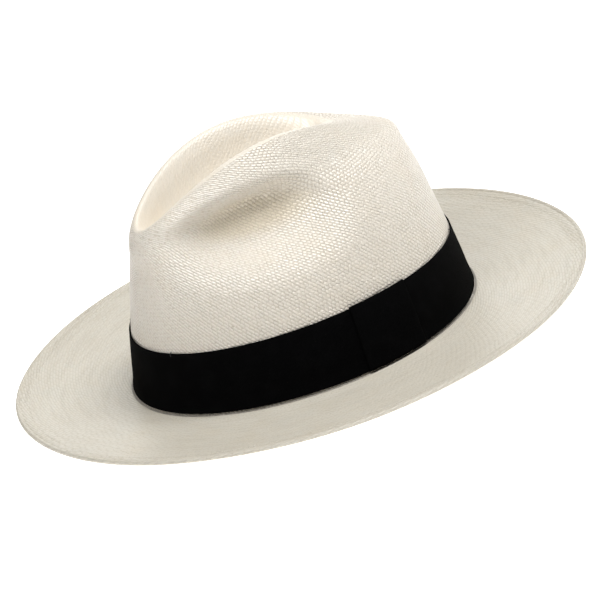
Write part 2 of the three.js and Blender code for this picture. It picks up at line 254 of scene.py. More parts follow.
def tubes(name, lines, radius, lifts, sides=8, widen=1.0, taper=0.0):
    """Closed tubes along centre lines, shaped (tubes, stations, 3), all in one mesh.

    lifts are the directions that face away from the cloth; widen flattens the section there.
    taper is the share of the radius that is lost at the ends.
    """
    lines = np.asarray(lines, float)
    count, stations = lines.shape[:2]
    tangent = unit(np.gradient(lines, axis=1))
    side = unit(np.cross(tangent, lifts))
    up = np.cross(side, tangent)
    turn = np.linspace(0, 2 * np.pi, sides, endpoint=False)
    share = np.linspace(-1, 1, stations)
    size = radius * (1 - taper * np.abs(share) ** 6)
    ring = widen * np.cos(turn)[:, None] * side[:, :, None]
    ring = ring + np.sin(turn)[:, None] * up[:, :, None]
    points = lines[:, :, None] + ring * size[None, :, None, None]
    index = np.arange(count * stations * sides).reshape(count, stations, sides)
    length = np.linalg.norm(np.diff(lines, axis=1), axis=-1)
    run = np.concatenate([np.zeros((count, 1)), np.cumsum(length, axis=1)], axis=1)
    faces = []
    uvs = []
    for k in range(sides):
        j = (k + 1) % sides
        quad = [index[:, :-1, k], index[:, :-1, j], index[:, 1:, j], index[:, 1:, k]]
        faces.append(np.stack(quad, axis=-1).reshape(-1, 4))
        around = [k / sides, (k + 1) / sides, (k + 1) / sides, k / sides]
        along = [run[:, :-1], run[:, :-1], run[:, 1:], run[:, 1:]]
        pair = [np.stack([b, np.full_like(b, a)], axis=-1) for a, b in zip(around, along)]
        uvs.append(np.stack(pair, axis=-2).reshape(-1, 4, 2))
    quads = np.concatenate(faces)
    uvs = np.concatenate(uvs)
    flat = points.reshape(-1, 3)
    flip = signed_volume(flat, quads) < 0
    if flip:
        quads = quads[:, ::-1]
        uvs = uvs[:, ::-1]
    faces = quads.tolist()
    uvs = uvs.reshape(-1, 2)
    caps = []
    for tube in range(count):
        first = index[tube, 0].tolist()
        last = index[tube, -1].tolist()
        caps.append(first if flip else first[::-1])
        caps.append(last[::-1] if flip else last)
    uvs = np.concatenate([uvs, np.zeros((len(caps) * sides, 2))])
    return build_mesh(name, flat, faces + caps, uvs)


def place(name, mesh, materials, slot, *nodes):
    """Puts a mesh in the scene as a piece that stands for CAD nodes."""
    piece = bpy.data.objects.new(name, mesh)
    bpy.context.scene.collection.objects.link(piece)
    for material in materials:
        mesh.materials.append(material)
    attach(piece, BODY)
    if nodes:
        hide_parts(*nodes)
    return piece


# ------------------------ materials
class Shader:
    """A node material built with short calls. Lengths in its nodes are millimetres."""

    def __init__(self, name, roughness=0.6):
        self.material = bpy.data.materials.new(name)
        self.material.use_nodes = True
        self.nodes = self.material.node_tree.nodes
        self.links = self.material.node_tree.links
        self.surface = next(n for n in self.nodes if n.type == "BSDF_PRINCIPLED")
        self.set("Roughness", roughness)

    def set(self, name, value):
        self.connect(value, self.surface.inputs[name])

    def connect(self, value, socket):
        if isinstance(value, bpy.types.NodeSocket):
            self.links.new(value, socket)
        elif isinstance(value, tuple) and len(value) == 3 and socket.type == "RGBA":
            socket.default_value = (*value, 1.0)
        else:
            socket.default_value = value

    def add(self, kind, inputs=(), **settings):
        node = self.nodes.new(kind)
        for key, value in settings.items():
            setattr(node, key, value)
        for key, value in dict(inputs).items():
            self.connect(value, node.inputs[key])
        return node

    def math(self, operation, *values):
        node = self.add("ShaderNodeMath", operation=operation)
        for k, value in enumerate(values):
            self.connect(value, node.inputs[k])
        return node.outputs[0]

    def uv(self):
        """The two coordinates of the piece's own UV map."""
        source = self.add("ShaderNodeUVMap", uv_map=UV_NAME).outputs[0]
        split = self.add("ShaderNodeSeparateXYZ", {"Vector": source})
        return split.outputs[0], split.outputs[1]

    def place(self):
        """The point on the piece, in millimetres."""
        source = self.add("ShaderNodeTexCoord").outputs["Object"]
        scaled = self.add("ShaderNodeVectorMath", operation="SCALE")
        self.connect(source, scaled.inputs[0])
        scaled.inputs["Scale"].default_value = 1 / MM
        return scaled.outputs[0]

    def noise(self, where, size, detail=2.0):
        """Smooth noise from 0 to 1 whose lumps are about size millimetres across."""
        inputs = {"Vector": where, "Scale": 1 / size, "Detail": detail}
        return self.add("ShaderNodeTexNoise", inputs).outputs["Fac"]

    def pair(self, x, y, z=0.0):
        return self.add("ShaderNodeCombineXYZ", {"X": x, "Y": y, "Z": z}).outputs[0]

    def scatter(self, x, y, z=0.0):
        """A random number from 0 to 1 for each cell."""
        node = self.add("ShaderNodeTexWhiteNoise", {"Vector": self.pair(x, y, z)})
        return node.outputs["Value"]

    def remap(self, value, low, high, to_low=0.0, to_high=1.0):
        inputs = {0: value, 1: low, 2: high, 3: to_low, 4: to_high}
        node = self.add("ShaderNodeMapRange", inputs, interpolation_type="SMOOTHSTEP")
        return node.outputs[0]

    def mix(self, share, first, second):
        node = self.add("ShaderNodeMix", data_type="RGBA")
        self.connect(share, node.inputs["Factor"])
        self.connect(first, node.inputs[6])
        self.connect(second, node.inputs[7])
        return node.outputs[2]

    def bump(self, height, depth):
        """Tilts the surface by a height from 0 to 1 that stands for depth millimetres."""
        inputs = {"Height": height, "Distance": depth * MM, "Strength": 1.0}
        return self.add("ShaderNodeBump", inputs).outputs[0]


# The straw's own colour, a warmer and a greyer one, and the dark between the straws.
CREAM = (0.75, 0.69, 0.595)
WARM_CREAM = (0.735, 0.655, 0.535)
COOL_CREAM = (0.72, 0.68, 0.60)
BETWEEN_STRAWS = (0.47, 0.39, 0.28)
BRIM_CREAM = (0.56, 0.525, 0.447)
BRIM_WARM = (0.545, 0.49, 0.39)
BRIM_COOL = (0.535, 0.515, 0.45)
BRIM_BETWEEN = (0.38, 0.335, 0.26)
CROWN_COLOURS = (CREAM, WARM_CREAM, COOL_CREAM, BETWEEN_STRAWS)
BRIM_COLOURS = (BRIM_CREAM, BRIM_WARM, BRIM_COOL, BRIM_BETWEEN)
# Painted shade: a warmer, deeper cream put under the upper edges of the pinches, where they are
# in shade.
PINCH_PAINTED_SHADE = (0.775, 0.68, 0.52)
PINCH_SHADE_UP = 2.0
PINCH_SHADE_HEIGHT = 11.4
STRAW_IOR = 1.7
SLANT = math.radians(48)
BRIM_SLANT = math.radians(14)
CROWN_CELL = (2.8, 1.85)
BRIM_CELL = (4.2, 1.6)
# The brim gets more straws round it towards its edge.
BRIM_ZONES = [(0, 140, 92), (17, 158, 103), (34, 176, 115), (51, 194, 127)]
HEM_ZONES = [(0, 208, 136)]


def lumps(shader, value, power):
    """A rounded lump over each cell: value runs over it from 0 to 1."""
    centred = shader.math("ABSOLUTE", shader.math("MULTIPLY_ADD", value, 2.0, -1.0))
    return shader.math("SUBTRACT", 1.0, shader.math("POWER", centred, power))


def pinch_shade_mask(shader, where):
    """Where the pinches' painted shade goes: 1 under their upper edges and 0 outside them."""
    split = shader.add("ShaderNodeSeparateXYZ", {"Vector": where})
    length = (PINCH_FORWARD + PINCH_BACKWARD) / 2
    middle_y = PINCH_Y - (PINCH_FORWARD - PINCH_BACKWARD) / 2
    middle_z = PINCH_Z + PINCH_SHADE_UP
    along = shader.math("SUBTRACT", split.outputs[1], middle_y)
    along = shader.math("DIVIDE", along, length)
    up = shader.math("SUBTRACT", split.outputs[2], middle_z)
    up = shader.math("DIVIDE", up, PINCH_SHADE_HEIGHT)
    along = shader.math("POWER", shader.math("ABSOLUTE", along), 2.0)
    up = shader.math("POWER", shader.math("ABSOLUTE", up), 2.0)
    return shader.remap(shader.math("ADD", along, up), 0.1, 1.1, 1.0, 0.0)


def straw_material(
    name, cell, angle, colours, contrast, depth, zones=None, gloss=1.0, rings=0.0, pinch_shade_colour=None
):
    """Straw woven on the slant. zones are (v at the start, cells along, cells across) a turn.

    Without zones u is in millimetres. cell is the size of a cell along and across its straw,
    in millimetres. colours are the straw's own, a warmer one, a greyer one, and that of the
    dark between the straws. rings is how much the straw darkens and lightens in rings round
    the hat. The colour for the pinches, if given, is painted shade: a deeper cream put under
    their upper edges, where they are in shade.
    """
    plain, warm, cool, dark = colours
    shader = Shader(name)
    u, v = shader.uv()
    where = shader.place()
    zones = zones or [(0, math.cos(angle) / cell[0], math.sin(angle) / cell[1])]
    along_count = zones[0][1]
    across_count = zones[0][2]
    for before, zone in zip(zones, zones[1:]):
        passed = shader.math("GREATER_THAN", v, float(zone[0]))
        along_change = float(zone[1] - before[1])
        across_change = float(zone[2] - before[2])
        along_count = shader.math("MULTIPLY_ADD", passed, along_change, along_count)
        across_count = shader.math("MULTIPLY_ADD", passed, across_change, across_count)
    sway = shader.math("MULTIPLY_ADD", shader.noise(where, 7.0), 0.5, -0.25)
    jog = shader.math("MULTIPLY_ADD", shader.noise(where, 2.2), 0.9, -0.45)
    along = shader.math("MULTIPLY", u, along_count)
    along = shader.math("MULTIPLY_ADD", v, -math.sin(angle) / cell[0], along)
    across = shader.math("MULTIPLY", u, across_count)
    across = shader.math("MULTIPLY_ADD", v, math.cos(angle) / cell[1], across)
    across = shader.math("ADD", across, sway)
    strand = shader.math("FLOOR", across)
    half = shader.math("MULTIPLY", shader.math("FLOORED_MODULO", strand, 2.0), 0.5)
    half = shader.math("MULTIPLY_ADD", shader.scatter(strand, 3.0), 0.35, half)
    along = shader.math("ADD", along, half)
    along = shader.math("ADD", along, jog)
    step = shader.math("FLOOR", along)
    across = shader.math("FRACT", across)
    along = shader.math("FRACT", along)
    height = shader.math("MULTIPLY", lumps(shader, along, 3.2), lumps(shader, across, 2.4))
    height = shader.math("MAXIMUM", height, 0.0)
    pick = shader.scatter(strand, step)
    other = shader.scatter(strand, step, 7.0)
    fibre_at = shader.pair(
        shader.math("MULTIPLY", along, 1.5), shader.math("MULTIPLY", across, 9.0), pick
    )
    fibre = shader.noise(fibre_at, 1.0, detail=3.0)
    relief = shader.math("MULTIPLY_ADD", pick, 0.35, height)
    relief = shader.math("MULTIPLY_ADD", fibre, 0.15, relief)
    colour = shader.mix(shader.remap(pick, 0.4, 1.0, 0.0, 0.3), plain, warm)
    colour = shader.mix(shader.remap(other, 0.6, 1.0, 0.0, 0.3), colour, cool)
    blotch = shader.noise(where, 26.0, detail=3.0)
    colour = shader.mix(shader.remap(blotch, 0.48, 0.75, 0.0, 0.5), colour, warm)
    cloud = shader.noise(where, 17.0, detail=2.0)
    colour = shader.mix(shader.remap(cloud, 0.55, 0.8, 0.0, 0.5), colour, cool)
    # Painted shade: a warmer, deeper cream under the upper edges of the pinches, where they are
    # in shade.
    if pinch_shade_colour:
        colour = shader.mix(pinch_shade_mask(shader, where), colour, pinch_shade_colour)
    gap = shader.remap(height, 0.02, 0.5, contrast, 0.0)
    gap = shader.math("MULTIPLY", gap, shader.math("MULTIPLY_ADD", other, 1.1, 0.35))
    colour = shader.mix(gap, colour, dark)
    if rings:
        ring_at = shader.pair(shader.math("MULTIPLY", u, 26.0), shader.math("DIVIDE", v, 2.3))
        ring = shader.noise(ring_at, 1.0, detail=2.0)
        colour = shader.mix(shader.remap(ring, 0.4, 0.7, 0.0, rings), colour, dark)
    shader.set("Base Color", colour)
    shader.set("Roughness", shader.remap(height, 0.0, 0.8, 0.7, 0.34))
    shader.set("Normal", shader.bump(relief, depth))
    shader.set("Specular IOR Level", gloss)
    shader.set("IOR", STRAW_IOR)
    return shader.material


# The crown's straw carries the painted shade under the pinches.
crown_straw = straw_material(
    "crown_straw", CROWN_CELL, SLANT, CROWN_COLOURS, contrast=0.45, depth=0.5,
    pinch_shade_colour=PINCH_PAINTED_SHADE,
)
crease_straw = straw_material(
    "crease_straw", CROWN_CELL, SLANT, CROWN_COLOURS, contrast=0.1, depth=0.12,
    gloss=0.45,
)
inside_straw = straw_material(
    "inside_straw", CROWN_CELL, -SLANT, CROWN_COLOURS, contrast=0.5, depth=0.6, gloss=0.4
)
brim_straw = straw_material(
    "brim_straw", BRIM_CELL, BRIM_SLANT, BRIM_COLOURS, contrast=0.2, depth=0.17,
    zones=BRIM_ZONES, gloss=0.5, rings=0.24,
)
hem_straw = straw_material(
    "hem_straw", BRIM_CELL, -BRIM_SLANT, BRIM_COLOURS, contrast=0.36, depth=0.2,
    zones=HEM_ZONES, gloss=0.5, rings=0.35,
)


RIBBON_BLACK = (0.0016, 0.0016, 0.0018)
RIBBON_WORN = (0.003, 0.003, 0.0033)
BETWEEN_RIBS = (0.0012, 0.0012, 0.0014)
THREADS_PER_MM = 3.2
SELVEDGE = (0.9, 0.6)


def grosgrain_material(name, ribs, along_u=True, selvedge=None):
    """Black ribbon with fine ribs. selvedge is (low, high) of v between its bound edges."""
    shader = Shader(name, roughness=0.85)
    u, v = shader.uv()
    where = shader.place()
    run = shader.math("MULTIPLY", u if along_u else v, ribs)
    run = shader.math("MULTIPLY_ADD", shader.noise(where, 5.0), 0.3, run)
    rib = lumps(shader, shader.math("FRACT", run), 2.4)
    threads = shader.math("MULTIPLY", v if along_u else u, THREADS_PER_MM)
    thread = lumps(shader, shader.math("FRACT", threads), 2.0)
    relief = shader.math("MULTIPLY_ADD", thread, 0.18, rib)
    if selvedge is not None:
        low, high = selvedge
        half = (high - low) / 2
        rim = shader.math("ABSOLUTE", shader.math("SUBTRACT", v, (low + high) / 2))
        rim = shader.remap(rim, half - SELVEDGE[0], half - SELVEDGE[1])
        relief = shader.math("MULTIPLY_ADD", rim, 0.8, relief)
    blotch = shader.noise(where, 11.0, detail=4.0)
    colour = shader.mix(shader.remap(blotch, 0.4, 0.8), RIBBON_BLACK, RIBBON_WORN)
    colour = shader.mix(shader.remap(rib, 0.0, 0.5, 0.6, 0.0), colour, BETWEEN_RIBS)
    shader.set("Base Color", colour)
    shader.set("Roughness", shader.remap(rib, 0.0, 1.0, 0.98, 0.84))
    shader.set("Normal", shader.bump(relief, 0.16))
    shader.set("Specular IOR Level", 0.03)
    return shader.material


TWIST_PITCH = 0.9


def thread_material(name, colour, shade):
    """Twisted sewing thread. The UV map runs in millimetres along it and once round it."""
    shader = Shader(name, roughness=0.65)
    u, v = shader.uv()
    twist = shader.math("MULTIPLY_ADD", u, 1 / TWIST_PITCH, shader.math("MULTIPLY", v, 2.0))
    ply = lumps(shader, shader.math("FRACT", twist), 2.0)
    fuzz = shader.noise(shader.place(), 0.5, detail=3.0)
    shader.set("Base Color", shader.mix(shader.remap(ply, 0.0, 0.6), shade, colour))
    relief = shader.math("MULTIPLY_ADD", fuzz, 0.3, ply)
    shader.set("Normal", shader.bump(relief, 0.08))
    shader.set("Sheen Weight", 0.1)
    return shader.material


GRAIN_SIZE = 1.1
LEATHER_DEEP = (0.235, 0.105, 0.045)
LEATHER_LIGHT = (0.33, 0.165, 0.075)
LEATHER_FOLDS = (0.11, 0.045, 0.02)


def leather_material(name):
    """Smooth leather with a fine grain of cells."""
    shader = Shader(name, roughness=0.5)
    where = shader.place()
    at = {"Vector": where, "Scale": 1 / GRAIN_SIZE}
    cells = shader.add("ShaderNodeTexVoronoi", at, feature="DISTANCE_TO_EDGE")
    grain = shader.remap(cells.outputs["Distance"], 0.0, 0.22)
    pores = shader.noise(where, 0.45, detail=3.0)
    relief = shader.math("MULTIPLY_ADD", pores, 0.35, grain)
    tone = shader.noise(where, 14.0, detail=4.0)
    colour = shader.mix(shader.remap(tone, 0.35, 0.7), LEATHER_DEEP, LEATHER_LIGHT)
    colour = shader.mix(shader.remap(grain, 0.0, 1.0, 0.5, 0.0), colour, LEATHER_FOLDS)
    shader.set("Base Color", colour)
    shader.set("Roughness", shader.remap(tone, 0.3, 0.7, 0.42, 0.6))
    shader.set("Normal", shader.bump(relief, 0.09))
    return shader.material


TAPE_DEEP = (0.13, 0.075, 0.04)
TAPE_LIGHT = (0.19, 0.115, 0.065)
TAPE_HOLES = (0.05, 0.028, 0.014)
TAPE_WARPS = 900.0
TAPE_WEFTS_PER_MM = 2.2


def tape_material(name):
    """Closely woven tape."""
    shader = Shader(name, roughness=0.75)
    u, v = shader.uv()
    warp = lumps(shader, shader.math("FRACT", shader.math("MULTIPLY", u, TAPE_WARPS)), 2.0)
    weft = shader.math("FRACT", shader.math("MULTIPLY", v, TAPE_WEFTS_PER_MM))
    weft = lumps(shader, weft, 2.0)
    relief = shader.math("MULTIPLY", warp, weft)
    tone = shader.noise(shader.place(), 9.0, detail=3.0)
    colour = shader.mix(tone, TAPE_DEEP, TAPE_LIGHT)
    colour = shader.mix(shader.remap(relief, 0.0, 0.4, 0.6, 0.0), colour, TAPE_HOLES)
    shader.set("Base Color", colour)
    shader.set("Normal", shader.bump(relief, 0.1))
    return shader.material


REED_DULL = (0.66, 0.64, 0.58)
REED_CLEAR = (0.74, 0.72, 0.66)


def reed_material(name):
    """Extruded plastic with faint draw lines."""
    shader = Shader(name, roughness=0.35)
    u, v = shader.uv()
    drawn = shader.pair(shader.math("MULTIPLY", u, 40.0), shader.math("MULTIPLY", v, 9.0))
    lines = shader.noise(drawn, 1.0)
    tone = shader.noise(shader.place(), 20.0)
    shader.set("Base Color", shader.mix(tone, REED_DULL, REED_CLEAR))
    shader.set("Roughness", shader.remap(lines, 0.3, 0.7, 0.3, 0.45))
    shader.set("Normal", shader.bump(lines, 0.03))
    return shader.material


# ------------------------ straw body
STRAW_COLUMNS = 384
CROWN_ROWS, INNER_ROWS = 110, 45
BRIM_ROWS, HEM_ROWS = 26, 26
CREASE_ROWS = 33
BEND_ROWS, EDGE_ROWS, INNER_BEND_ROWS = 8, 8, 6
UNDER_HEM_V = 140
# The materials of the straw body's mesh, in order.
CREASE, CROWN, BRIM, HEM, INSIDE = range(5)


def brim_lift(theta, out):
    """The slight waviness of a brim that has been handled."""
    share = smoothstep(out, 15, BRIM_WIDTH)
    return share * (0.28 * np.sin(3 * theta + 0.9) + 0.16 * np.sin(7 * theta + 2.1))


def brim_relief(out):
    """The folded hem's ridge, the dip under its stitches, and the rolled edge."""
    fold = 0.1 * smoothstep(out, HEM_SEAM - 1.9, HEM_SEAM - 1.2)
    dip = 0.2 * np.exp(-(((out - HEM_SEAM) / 0.6) ** 2))
    roll = 0.26 * np.exp(-(((out - BRIM_WIDTH + 1.5) / 0.8) ** 2))
    groove = 0.3 * np.exp(-(((out - BRIM_WIDTH + 2.9) / 0.5) ** 2))
    return fold - dip + roll - groove


def straw_rows(theta):
    """Rows of points from the crease, over the crown and brim, back inside to the crease.

    Also gives v for each point and the material of each row. On the crown v is millimetres up
    from its foot, so it is largest in the crease; on the brim it is millimetres out.
    """
    crown_s = np.linspace(0, BREAK, CROWN_ROWS + 1)[:-1]
    crown = crown_point(theta[None], crown_s[:, None])
    turns = np.radians(np.linspace(0, 90, BEND_ROWS))[:, None]
    out = BREAK_RADIUS - BREAK_RADIUS * np.cos(turns)
    bend = break_point(theta[None], out, BREAK_HEIGHT - BREAK_RADIUS * np.sin(turns))
    outer = np.concatenate([crown, bend])
    steps = np.linalg.norm(np.diff(outer, axis=0), axis=-1)
    height = np.concatenate([np.cumsum(steps[::-1], axis=0)[::-1], np.zeros((1, len(theta)))])
    edge_radius = (STRAW + HEM_FOLD) / 2
    last = BRIM_WIDTH - edge_radius
    plain_outs = np.linspace(BREAK_RADIUS + STRAW, HEM_SEAM - 2, BRIM_ROWS)
    hem_outs = np.linspace(HEM_SEAM - 1.6, last, HEM_ROWS)
    outs = np.concatenate([plain_outs, hem_outs])[:, None]
    top = brim_top(outs) + brim_relief(outs) + brim_lift(theta, outs)
    brim = break_point(theta[None], outs, top)
    middle = brim_top(BRIM_WIDTH) - edge_radius
    turns = np.radians(np.linspace(75, -90, EDGE_ROWS))[:, None]
    edge_out = last + edge_radius * np.cos(turns)
    edge_z = middle + edge_radius * np.sin(turns) + brim_lift(theta, edge_out)
    edge = break_point(theta[None], edge_out, edge_z)
    fold = BRIM_WIDTH - HEM_WIDTH
    under_outs = [last - 2, HEM_SEAM + 1, HEM_SEAM, HEM_SEAM - 0.6, fold + 0.25, fold, fold - 0.1]
    under_out = np.array(under_outs)[:, None]
    thick = np.array([1, 1, 0.75, 0.95, 0.85, 0.55, 0.05])[:, None] * HEM_FOLD
    under_z = brim_top(under_out) - STRAW - thick + brim_lift(theta, under_out)
    hem = break_point(theta[None], under_out, under_z)
    plain_out = np.linspace(fold - 1, BRIM_FLAT, 15)[:, None]
    plain_z = brim_top(plain_out) - STRAW + brim_lift(theta, plain_out)
    under = break_point(theta[None], plain_out, plain_z)
    turns = np.radians(np.linspace(90, 0, INNER_BEND_ROWS))[:, None]
    radius = BREAK_RADIUS + STRAW
    bend_out = BREAK_RADIUS - radius * np.cos(turns)
    inner_bend = break_point(theta[None], bend_out, BREAK_HEIGHT - radius * np.sin(turns))
    inner_s = np.linspace(BREAK, 0, INNER_ROWS)[1:]
    inner = crown_offset(theta[None], inner_s[:, None], -STRAW)
    steps = np.linalg.norm(np.diff(np.concatenate([inner_bend[-1:], inner]), axis=0), axis=-1)
    inner_height = np.cumsum(steps, axis=0)
    around = np.ones((1, len(theta)))
    v = [
        height,
        outs * around,
        (BRIM_WIDTH + np.linspace(0, 3, EDGE_ROWS))[:, None] * around,
        (UNDER_HEM_V - under_out) * around,
        plain_out * around,
        np.linspace(3, 0, INNER_BEND_ROWS)[:, None] * around,
        inner_height,
    ]
    rows = [outer, brim, edge, hem, under, inner_bend, inner]
    slots = [CROWN, BRIM, HEM, HEM, BRIM, INSIDE, INSIDE]
    row_slots = np.concatenate([[slot] * len(part) for slot, part in zip(slots, rows)])
    hem_start = len(outer) + BRIM_ROWS
    row_slots[hem_start : hem_start + HEM_ROWS] = HEM
    row_slots[:CREASE_ROWS] = CREASE
    return np.concatenate(rows), np.concatenate(v), row_slots


def merged_at_crease(mesh):
    """Joins the two sides of the crown along the valley of the crease."""
    work = bmesh.new()
    work.from_mesh(mesh)
    rims = [vertex for vertex in work.verts if vertex.is_boundary]
    bmesh.ops.remove_doubles(work, verts=rims, dist=1e-6)
    work.to_mesh(mesh)
    work.free()
    mesh.update()


straw_theta = round_angles(STRAW_COLUMNS)
straw_grid, straw_v, straw_slots = straw_rows(straw_theta)
straw_steps = np.linalg.norm(np.roll(straw_grid, -1, axis=1) - straw_grid, axis=-1)
straw_round = np.pad(np.cumsum(straw_steps, axis=1), ((0, 0), (1, 0)))
woven_round = (straw_slots == BRIM) | (straw_slots == HEM)


def straw_u(rows, columns):
    """Millimetres round each ring from the middle of its side; on the brim a share of a turn.

    The right side mirrors the left, so the weave joins up at the front and at the back.
    """
    quarter = STRAW_COLUMNS // 4
    from_left = straw_round[rows, columns] - straw_round[rows, quarter]
    from_right = straw_round[rows, 3 * quarter] - straw_round[rows, columns]
    from_side = np.where(columns[:, :1] < 2 * quarter, from_left, from_right)
    return np.where(woven_round[rows], columns / STRAW_COLUMNS, from_side)


straw_mesh = swept(
    "straw_body", straw_grid, straw_u, straw_v, wrap_rows=False, row_slots=straw_slots
)
merged_at_crease(straw_mesh)
place(
    "straw_body_woven",
    straw_mesh,
    [crease_straw, crown_straw, brim_straw, hem_straw, inside_straw],
    "straw",
    "straw_body",
)


# ------------------------ stitches
HEM_STITCHES = 328
SWEAT_STITCHES = 200


def ring_stitches(name, count, share, line, lift, bow, radius, slope=0.0):
    """Separate stitches of cream thread round the hat, each a share of its pitch long.

    line gives points and normals for angles and outward shifts. A stitch stands lift above it
    in its middle, and bow less at its ends. slope turns every other stitch the other way.
    """
    pitch = 2 * np.pi / count
    stations = np.linspace(-0.5, 0.5, 7)
    middles = (np.arange(count) + 0.5) * pitch
    theta = middles[:, None] + stations[None] * pitch * share
    arch = 1 - (2 * np.abs(stations)) ** 4
    zig = slope * np.where(np.arange(count) % 2 == 0, 1.0, -1.0)
    points, normals = line(theta, zig[:, None] * stations[None] * 2)
    height = lift + bow * (arch - 1)
    lines = points + normals * height[None, :, None]
    mesh = tubes(name, lines, radius, normals, taper=0.55, widen=1.15)
    return place(name + "_stitches", mesh, [cream_thread], "cream_thread", name)


def hem_line(top):
    """The hem's seam on the brim's upper face, or on its lower one."""
    side = 1.0 if top else -1.0

    def line(theta, shift):
        out = HEM_SEAM + shift
        z = brim_top(out) + brim_lift(theta, out)
        z = z + brim_relief(out) if top else z - STRAW - 0.8 * HEM_FOLD
        normal = np.zeros(theta.shape + (3,))
        normal[..., 2] = side
        return break_point(theta, out, z), normal

    return line


cream_thread = thread_material("cream_thread", (0.67, 0.63, 0.55), (0.46, 0.42, 0.34))
black_thread = thread_material("black_thread", (0.012, 0.012, 0.013), (0.003, 0.003, 0.003))
ring_stitches("hem_needle_thread", HEM_STITCHES, 0.76, hem_line(True), 0.1, 0.26, 0.16)
ring_stitches("hem_bobbin_thread", HEM_STITCHES, 0.76, hem_line(False), 0.14, 0.3, 0.2)

# ------------------------ hatband ribbon
RIBBON_JOIN = 0.3
RIBBON_HEIGHT = 36.6
RIBBON_FOOT = BREAK + 0.01
RIBBON_RIBS = 880.0
BAND_COLUMNS = 600
band_theta = round_angles(
    BAND_COLUMNS, KEEPER_ANGLE + RIBBON_JOIN, KEEPER_ANGLE + 360 - RIBBON_JOIN
)


def strip_section(low, high, inner, outer, rows, bead=0.1):
    """A closed section, as ring counts and lifts, of a strip with rounded bound edges."""
    run = np.linspace(low, high, rows)
    turn = np.radians(np.linspace(-90, 90, 7))[1:-1]
    half = (outer - inner) / 2 + bead / 2
    middle = (outer + inner) / 2
    rim = 0.045
    swell = bead / 2 * (np.exp(-((run - low) / rim) ** 2) + np.exp(-((high - run) / rim) ** 2))
    beyond = half / RING_STEP * np.cos(turn)
    bulge = half * np.sin(turn)
    s = [run, high + beyond, run[::-1], low - beyond]
    lift = [outer + swell, middle - bulge, (inner - swell)[::-1], middle + bulge]
    return np.concatenate(s), np.concatenate(lift)


def section_lengths(grid):
    """How far each row is round the section, in millimetres, with the closing row added."""
    looped = np.concatenate([grid, grid[:1]])
    steps = np.linalg.norm(np.diff(looped, axis=0), axis=-1).mean(axis=1)
    return np.concatenate([[0.0], np.cumsum(steps)])


def ribbon_flare(theta, s):
    """Where the ribbon stands off the straw: at its foot, and a little along its top."""
    foot = smoothstep(s, 10.55, 11.0) * (0.35 + 0.3 * np.sin(2 * theta + 0.6) ** 2)
    head = smoothstep(9.35 - s, 0.0, 0.35) * 0.16 * (1 + np.sin(5 * theta + 1.3))
    belly = 0.12 * np.sin(9 * theta) * np.sin(np.pi * np.clip((s - 9) / 2, 0, 1))
    return foot + head / 2 + belly / 2 + 0.06


section_s, section_lift = strip_section(BAND_TOP + 0.01, RIBBON_FOOT, GAP, GAP + RIBBON, 26)
s_grid = section_s[:, None]
lift_grid = section_lift[:, None] + ribbon_flare(band_theta[None], s_grid)
band_grid = crown_offset(band_theta[None], s_grid, lift_grid)
band_v = section_lengths(band_grid)
black_ribbon = grosgrain_material("black_ribbon", RIBBON_RIBS, selvedge=(0.0, RIBBON_HEIGHT))
band_u = np.linspace(0, 1, BAND_COLUMNS)
band_mesh = swept("hatband_ribbon", band_grid, band_u, band_v, wrap_columns=False)
hatband = place("hatband_grosgrain", band_mesh, [black_ribbon], "black_ribbon", "hatband_ribbon")

# ------------------------ keeper
KEEPER_COLUMNS = 49
KEEPER_RIBS_PER_MM = 1.45
keeper_half = KEEPER_WIDTH / 2 / BREAK_HALF_LENGTH
keeper_lift = 2 * GAP + RIBBON + 0.15


def keeper_section():
    """The keeper is folded over the ribbon's top edge and under its foot."""
    top = BAND_TOP - KEEPER_PROUD / RING_STEP
    front = keeper_lift + KEEPER
    face = np.linspace(top + 0.03, RIBBON_FOOT + 0.005, 22)
    belly = 0.22 * np.sin(np.pi * (face - face[0]) / (face[-1] - face[0]))
    turn = np.radians(np.linspace(0, 90, 5))[1:]
    foot_s = RIBBON_FOOT + 0.005 + 0.035 * np.sin(turn)
    foot_lift = front - 0.6 * (1 - np.cos(turn))
    under_s = RIBBON_FOOT + np.array([0.039, 0.036, 0.008, 0.006])
    under_lift = np.array([0.8, 0.45, 0.45, keeper_lift - 0.05])
    back = np.linspace(RIBBON_FOOT - 0.025, top + 0.05, 12)
    hook_s = np.array([top + 0.045, top + 0.042, top + 0.01])
    hook_lift = np.array([keeper_lift - 0.1, 0.35, 0.3])
    head_s = top + 0.03 - 0.045 * np.sin(turn[::-1])
    head_lift = front - 0.6 * (1 - np.cos(turn[::-1]))
    s = np.concatenate([face, foot_s, under_s, back, hook_s, head_s])
    lift = np.concatenate(
        [front + belly, foot_lift, under_lift, np.full(12, keeper_lift), hook_lift, head_lift]
    )
    return s, lift


keeper_side = np.linspace(-1, 1, KEEPER_COLUMNS)
keeper_theta = math.radians(KEEPER_ANGLE) + keeper_half * keeper_side[None]
section_s, section_lift = keeper_section()
s_grid = section_s[:, None]
# The outer face is rounded off at its two side edges.
round_off = 0.55 * np.clip(np.abs(keeper_side) - 0.965, 0, 1) / 0.035
outer_row = np.clip((section_lift - keeper_lift) / KEEPER, 0, 1)[:, None]
lift_grid = section_lift[:, None] - outer_row * round_off[None]
lift_grid = lift_grid + ribbon_flare(keeper_theta, s_grid)
keeper_grid = crown_offset(keeper_theta, s_grid, lift_grid)
keeper_ribbon = grosgrain_material("keeper_ribbon", KEEPER_RIBS_PER_MM, along_u=False)
keeper_u = np.linspace(0, KEEPER_WIDTH, KEEPER_COLUMNS)
keeper_v = section_lengths(keeper_grid)
keeper_mesh = swept("bow_keeper", keeper_grid, keeper_u, keeper_v, wrap_columns=False)
keeper = place("bow_keeper_grosgrain", keeper_mesh, [keeper_ribbon], "black_ribbon", "bow_keeper")


